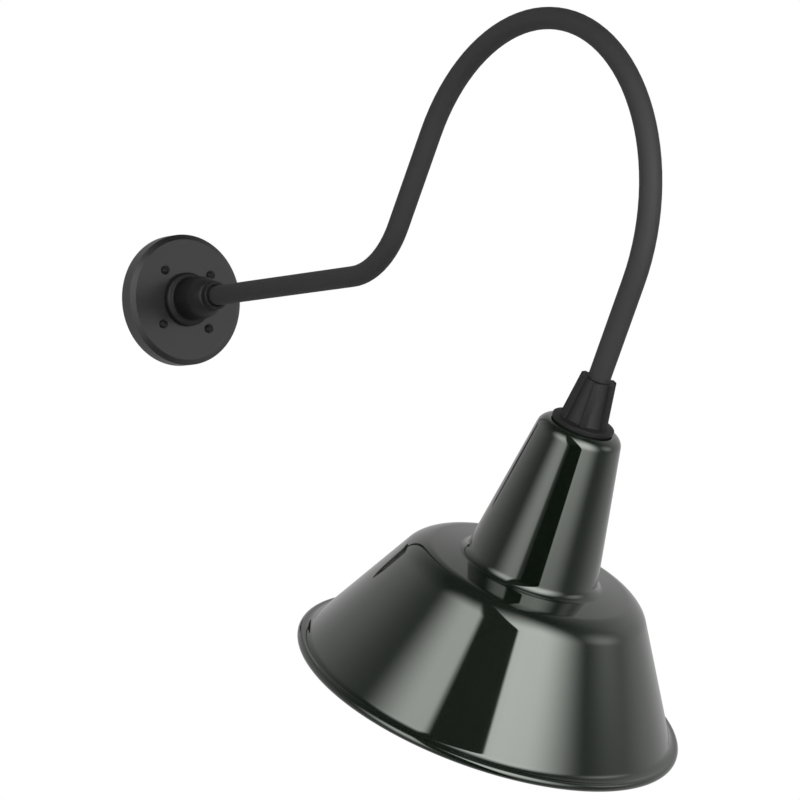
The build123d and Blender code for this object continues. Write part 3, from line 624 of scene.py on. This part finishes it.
# ---------------------------------------------------------------------------------------------------
# Lampholder: slip-cast porcelain with a clear glaze, held by the strap's two screws. The shell, centre
# tongue and terminals are brass.
porcelain = finish("glazed_porcelain", (0.76, 0.74, 0.68), (0.82, 0.8, 0.75), roughness=0.14, variation=0.03,
                   clouds=60.0, Coat_Weight=0.6, Coat_Roughness=0.04)
dress(porcelain, "lampholder_body")
dress(brass, "screw_shell", "centre_contact", "terminal_plates", "terminal_screws")

# ---------------------------------------------------------------------------------------------------
# Lamp: opal glass with a matt white coat inside, a rolled aluminium screw cap, a black glass insulator
# and a drop of solder at its tip.
opal = finish("opal_glass", (0.86, 0.85, 0.8), (0.9, 0.89, 0.85), roughness=0.16, variation=0.02,
              clouds=30.0, Coat_Weight=0.5, Coat_Roughness=0.05)
dress(opal, "lamp_bulb")
cap_sheet = 0.0004
cap_crest = 0.0128              # radius to the middle of the sheet
cap_root = 0.01205
cap_pitch = 0.00363
cap_thread = (0.1080, 0.1185)   # distances from the arm's end between which the thread runs
cap_plain = 0.0007              # run-out of the thread at each end
cap_glass_end = 0.1274
cap_shoulder = 0.1064
cap_floor = (0.0116, 0.1052)
cap_hole = (0.0046, 0.1051)
cap_wave_round = 0.22 * cap_pitch
cap_steps = 72
cap_spare = 2                   # waves past the thread at its start, trimmed off
same_place = 0.00001            # points nearer than this count as one

cap = bmesh.new()
waves = round((cap_thread[1] - cap_thread[0]) / cap_pitch) + cap_spare + 1
line = [cap.verts.new((cap_crest if half % 2 else cap_root, 0,
                       cap_thread[0] + (half / 2 - cap_spare) * cap_pitch)) for half in range(2 * waves)]
for first, second in zip(line, line[1:]):
    cap.edges.new((first, second))
round_points(cap, line[1:-1], cap_wave_round, segments=4)
bmesh.ops.spin(cap, geom=cap.verts[:] + cap.edges[:], cent=(0, 0, 0), axis=(0, 0, 1),
               dvec=(0, 0, cap_pitch / cap_steps), angle=2 * math.pi, steps=cap_steps)
bmesh.ops.remove_doubles(cap, verts=cap.verts, dist=same_place)
for station, turned in zip(cap_thread, (-1, 1)):
    bmesh.ops.bisect_plane(cap, geom=cap.verts[:] + cap.edges[:] + cap.faces[:], dist=0.000001,
                           plane_co=(0, 0, station), plane_no=(0, 0, turned), clear_outer=True)


def draw_out(target, station, *circles):
    """Draws the open edge at one distance out to circles, each given as radius and distance."""
    for radius, next_station in circles:
        rim = [edge for edge in target.edges if edge.is_boundary
               and all(abs(vert.co.z - station) < same_place for vert in edge.verts)]
        for vert in bmesh.ops.extrude_edge_only(target, edges=rim)["geom"]:
            if isinstance(vert, bmesh.types.BMVert):
                vert.co = (*(vert.co.xy.normalized() * radius), next_station)
        station = next_station


draw_out(cap, cap_thread[0], (cap_crest, cap_thread[0] - cap_plain), (cap_crest, cap_shoulder), cap_floor,
         cap_hole)
draw_out(cap, cap_thread[1], (cap_crest, cap_thread[1] + cap_plain), (cap_crest, cap_glass_end))
bmesh.ops.recalc_face_normals(cap, faces=cap.faces)
bmesh.ops.transform(cap, matrix=head, verts=cap.verts)
cap_metal = finish("rolled_aluminium", (0.7, 0.7, 0.69), (0.78, 0.78, 0.77), roughness=0.26, variation=0.08,
                   grain=800.0, clouds=150.0, bump=0.1, Metallic=1.0)
screw_cap = add_piece("rolled_screw_cap", cap, cap_metal, body="lamp", sharp=math.radians(40))
cap_wall = screw_cap.modifiers.new("sheet", "SOLIDIFY")
cap_wall.thickness = cap_sheet
cap_wall.offset = 0
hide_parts("lamp_cap")
dress(finish("black_glass", (0.008, 0.008, 0.01), roughness=0.1, clouds=300.0), "lamp_insulator")
dress(finish("solder", (0.55, 0.55, 0.54), roughness=0.38, variation=0.15, clouds=400.0, Metallic=1.0),
      "lamp_contact")
